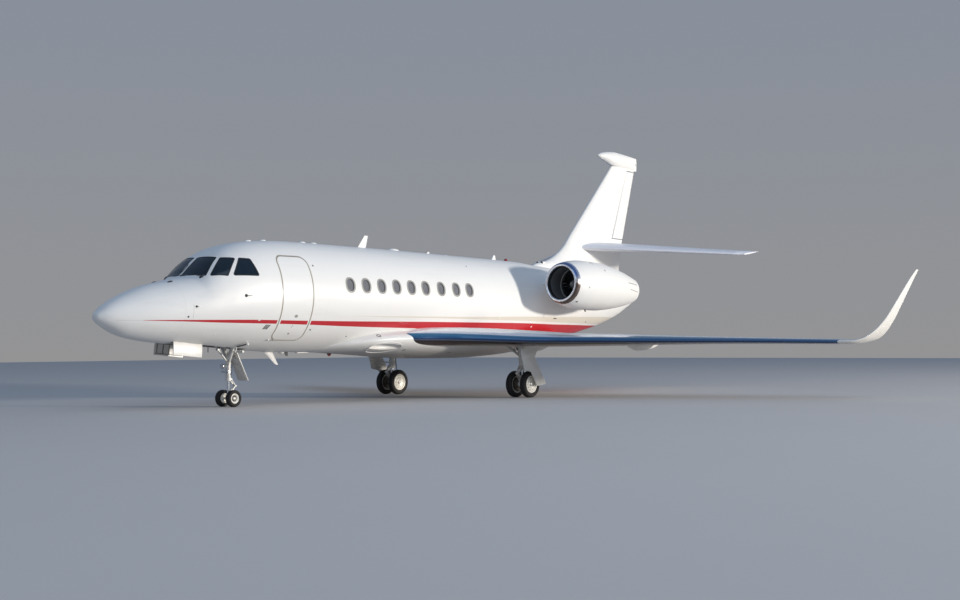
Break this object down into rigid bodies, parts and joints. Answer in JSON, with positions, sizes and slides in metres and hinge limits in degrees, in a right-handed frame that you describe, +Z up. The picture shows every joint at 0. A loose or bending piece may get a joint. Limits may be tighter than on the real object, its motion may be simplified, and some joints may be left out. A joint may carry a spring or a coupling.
{
  "type": "business jet",
  "caption": "Large-cabin business jet parked on its gear: swept low wing with blended winglets, rear-mounted turbofans, fin with a bullet cap, airstair door and hanging nose-bay doors.",
  "frame": {"origin": "on the ground under the middle of the overall length, on the centre plane", "axes": "+Z up, nose towards -Y, the left wing towards +X, wheels standing on z = 0"},
  "size_m": [21.3922, 20.23, 7.14],
  "materials": {
    "radome_paint": "gloss white, with the tip of the red stripe",
    "fuselage_paint": "gloss white over a broad red stripe, thin white and beige lines above it",
    "white_paint": "gloss white paint",
    "gear_door_paint": "gloss white outside, primer inside",
    "windscreen_glass": "laminated, slightly dark",
    "cabin_glass": "grey tinted",
    "tyre_rubber": "matte black, grooved",
    "wheel_alloy": "painted alloy, satin",
    "bare_metal_lip": "polished bare metal",
    "polished_slat": "polished metal that mirrors the sky",
    "fan_titanium": "machined blades, grey spinner",
    "engine_dark": "heat stained",
    "cabin_interior": "carpet and seat covers on a light alloy structure",
    "panel_dark": "matte, anti-glare",
    "gear_paint": "satin light grey paint",
    "gear_steel": "bright steel and chromed piston"
  },
  "bodies": {
    "airframe": {"belly_fairing": "white_paint", "cabin_floor": "cabin_interior", "cabin_windows_left": "cabin_glass", "cabin_windows_right": "cabin_glass", "cockpit_bulkhead": "cabin_interior", "cockpit_side_windows_left": "windscreen_glass", "cockpit_side_windows_right": "windscreen_glass", "engine_core_left": "engine_dark", "engine_core_right": "engine_dark", "fin": "white_paint", "fin_cap": "white_paint", "flap_left": "white_paint", "flap_right": "white_paint", "fuselage_centre": "fuselage_paint", "fuselage_front": "fuselage_paint", "fuselage_rear": "fuselage_paint", "inlet_lip_left": "bare_metal_lip", "inlet_lip_right": "bare_metal_lip", "instrument_panel": "panel_dark", "leading_edge_left": "polished_slat", "leading_edge_right": "polished_slat", "main_leg_door_left": "gear_door_paint", "main_leg_door_right": "gear_door_paint", "main_leg_left": "gear_paint", "main_leg_right": "gear_paint", "nacelle_left": "white_paint", "nacelle_right": "white_paint", "nose_leg": "gear_paint", "nose_leg_door": "gear_door_paint", "pylon_left": "white_paint", "pylon_right": "white_paint", "radome": "radome_paint", "tailplane": "white_paint", "windscreen_left": "windscreen_glass", "windscreen_right": "windscreen_glass", "wing_left": "white_paint", "wing_right": "white_paint", "winglet_left": "white_paint", "winglet_right": "white_paint"},
    "passenger_door": {"passenger_door": "fuselage_paint"},
    "nose_strut": {"nose_strut": "gear_steel"},
    "nose_wheels": {"nose_wheels": "wheel_alloy", "nose_tyre_a": "tyre_rubber", "nose_tyre_b": "tyre_rubber"},
    "main_wheels_left": {"main_left_wheels": "wheel_alloy", "main_left_tyre_a": "tyre_rubber", "main_left_tyre_b": "tyre_rubber"},
    "main_wheels_right": {"main_right_wheels": "wheel_alloy", "main_right_tyre_a": "tyre_rubber", "main_right_tyre_b": "tyre_rubber"},
    "fan_left": {"fan_left": "fan_titanium"},
    "fan_right": {"fan_right": "fan_titanium"},
    "nose_bay_door_left": {"nose_bay_door_left": "gear_door_paint"},
    "nose_bay_door_right": {"nose_bay_door_right": "gear_door_paint"},
    "aileron_left": {"aileron_left": "white_paint"},
    "aileron_right": {"aileron_right": "white_paint"},
    "elevator_left": {"elevator_left": "white_paint"},
    "elevator_right": {"elevator_right": "white_paint"},
    "rudder": {"rudder": "white_paint"}
  },
  "joints": [
    {"name": "passenger_door_hinge", "type": "hinge", "parent": "airframe", "child": "passenger_door", "pos_m": [0.752, -5.785, 1.44], "axis": [0, 1, 0], "range_deg": [0, 118]},
    {"name": "nose_steering", "type": "hinge", "parent": "airframe", "child": "nose_strut", "pos_m": [0, -6.715, 0.64], "axis": [0, 0, 1], "range_deg": [-60, 60]},
    {"name": "nose_wheels_spin", "type": "hinge", "parent": "nose_strut", "child": "nose_wheels", "pos_m": [0, -6.715, 0.183], "axis": [1, 0, 0], "continuous": true},
    {"name": "main_wheels_left_spin", "type": "hinge", "parent": "airframe", "child": "main_wheels_left", "pos_m": [2.225, 0.815, 0.33], "axis": [1, 0, 0], "continuous": true},
    {"name": "main_wheels_right_spin", "type": "hinge", "parent": "airframe", "child": "main_wheels_right", "pos_m": [-2.225, 0.815, 0.33], "axis": [1, 0, 0], "continuous": true},
    {"name": "fan_left_spin", "type": "hinge", "parent": "airframe", "child": "fan_left", "pos_m": [2.1, 2.605, 2.92], "axis": [0, 0.9993, -0.0384], "continuous": true},
    {"name": "fan_right_spin", "type": "hinge", "parent": "airframe", "child": "fan_right", "pos_m": [-2.1, 2.605, 2.92], "axis": [0, 0.9993, -0.0384], "continuous": true},
    {"name": "nose_bay_door_left_hinge", "type": "hinge", "parent": "airframe", "child": "nose_bay_door_left", "pos_m": [0.29, -8.415, 1.424], "axis": [0, 0.9962, -0.0875], "range_deg": [0, 86]},
    {"name": "nose_bay_door_right_hinge", "type": "hinge", "parent": "airframe", "child": "nose_bay_door_right", "pos_m": [-0.29, -8.415, 1.424], "axis": [0, -0.9962, 0.0875], "range_deg": [0, 86]},
    {"name": "aileron_left_hinge", "type": "hinge", "parent": "airframe", "child": "aileron_left", "pos_m": [6.93, 3.7343, 1.38431], "axis": [0.955, 0.296, -0.0176], "range_deg": [-25, 25]},
    {"name": "aileron_right_hinge", "type": "hinge", "parent": "airframe", "child": "aileron_right", "pos_m": [-6.93, 3.7343, 1.38431], "axis": [0.955, -0.296, 0.0176], "range_deg": [-25, 25]},
    {"name": "elevator_left_hinge", "type": "hinge", "parent": "airframe", "child": "elevator_left", "pos_m": [0.3, 8.23385, 4.2775], "axis": [0.9152, 0.396, -0.0741], "range_deg": [-20, 16]},
    {"name": "elevator_right_hinge", "type": "hinge", "parent": "airframe", "child": "elevator_right", "pos_m": [-0.3, 8.23385, 4.2775], "axis": [0.9152, -0.396, 0.0741], "range_deg": [-20, 16]},
    {"name": "rudder_hinge", "type": "hinge", "parent": "airframe", "child": "rudder", "pos_m": [0, 8.16785, 4.518], "axis": [0, 0.351, 0.9364], "range_deg": [-25, 25]}
  ],
  "couplings": [
    {"joint": "aileron_right_hinge", "follows": "aileron_left_hinge", "ratio": -1},
    {"joint": "elevator_right_hinge", "follows": "elevator_left_hinge", "ratio": 1}
  ]
}
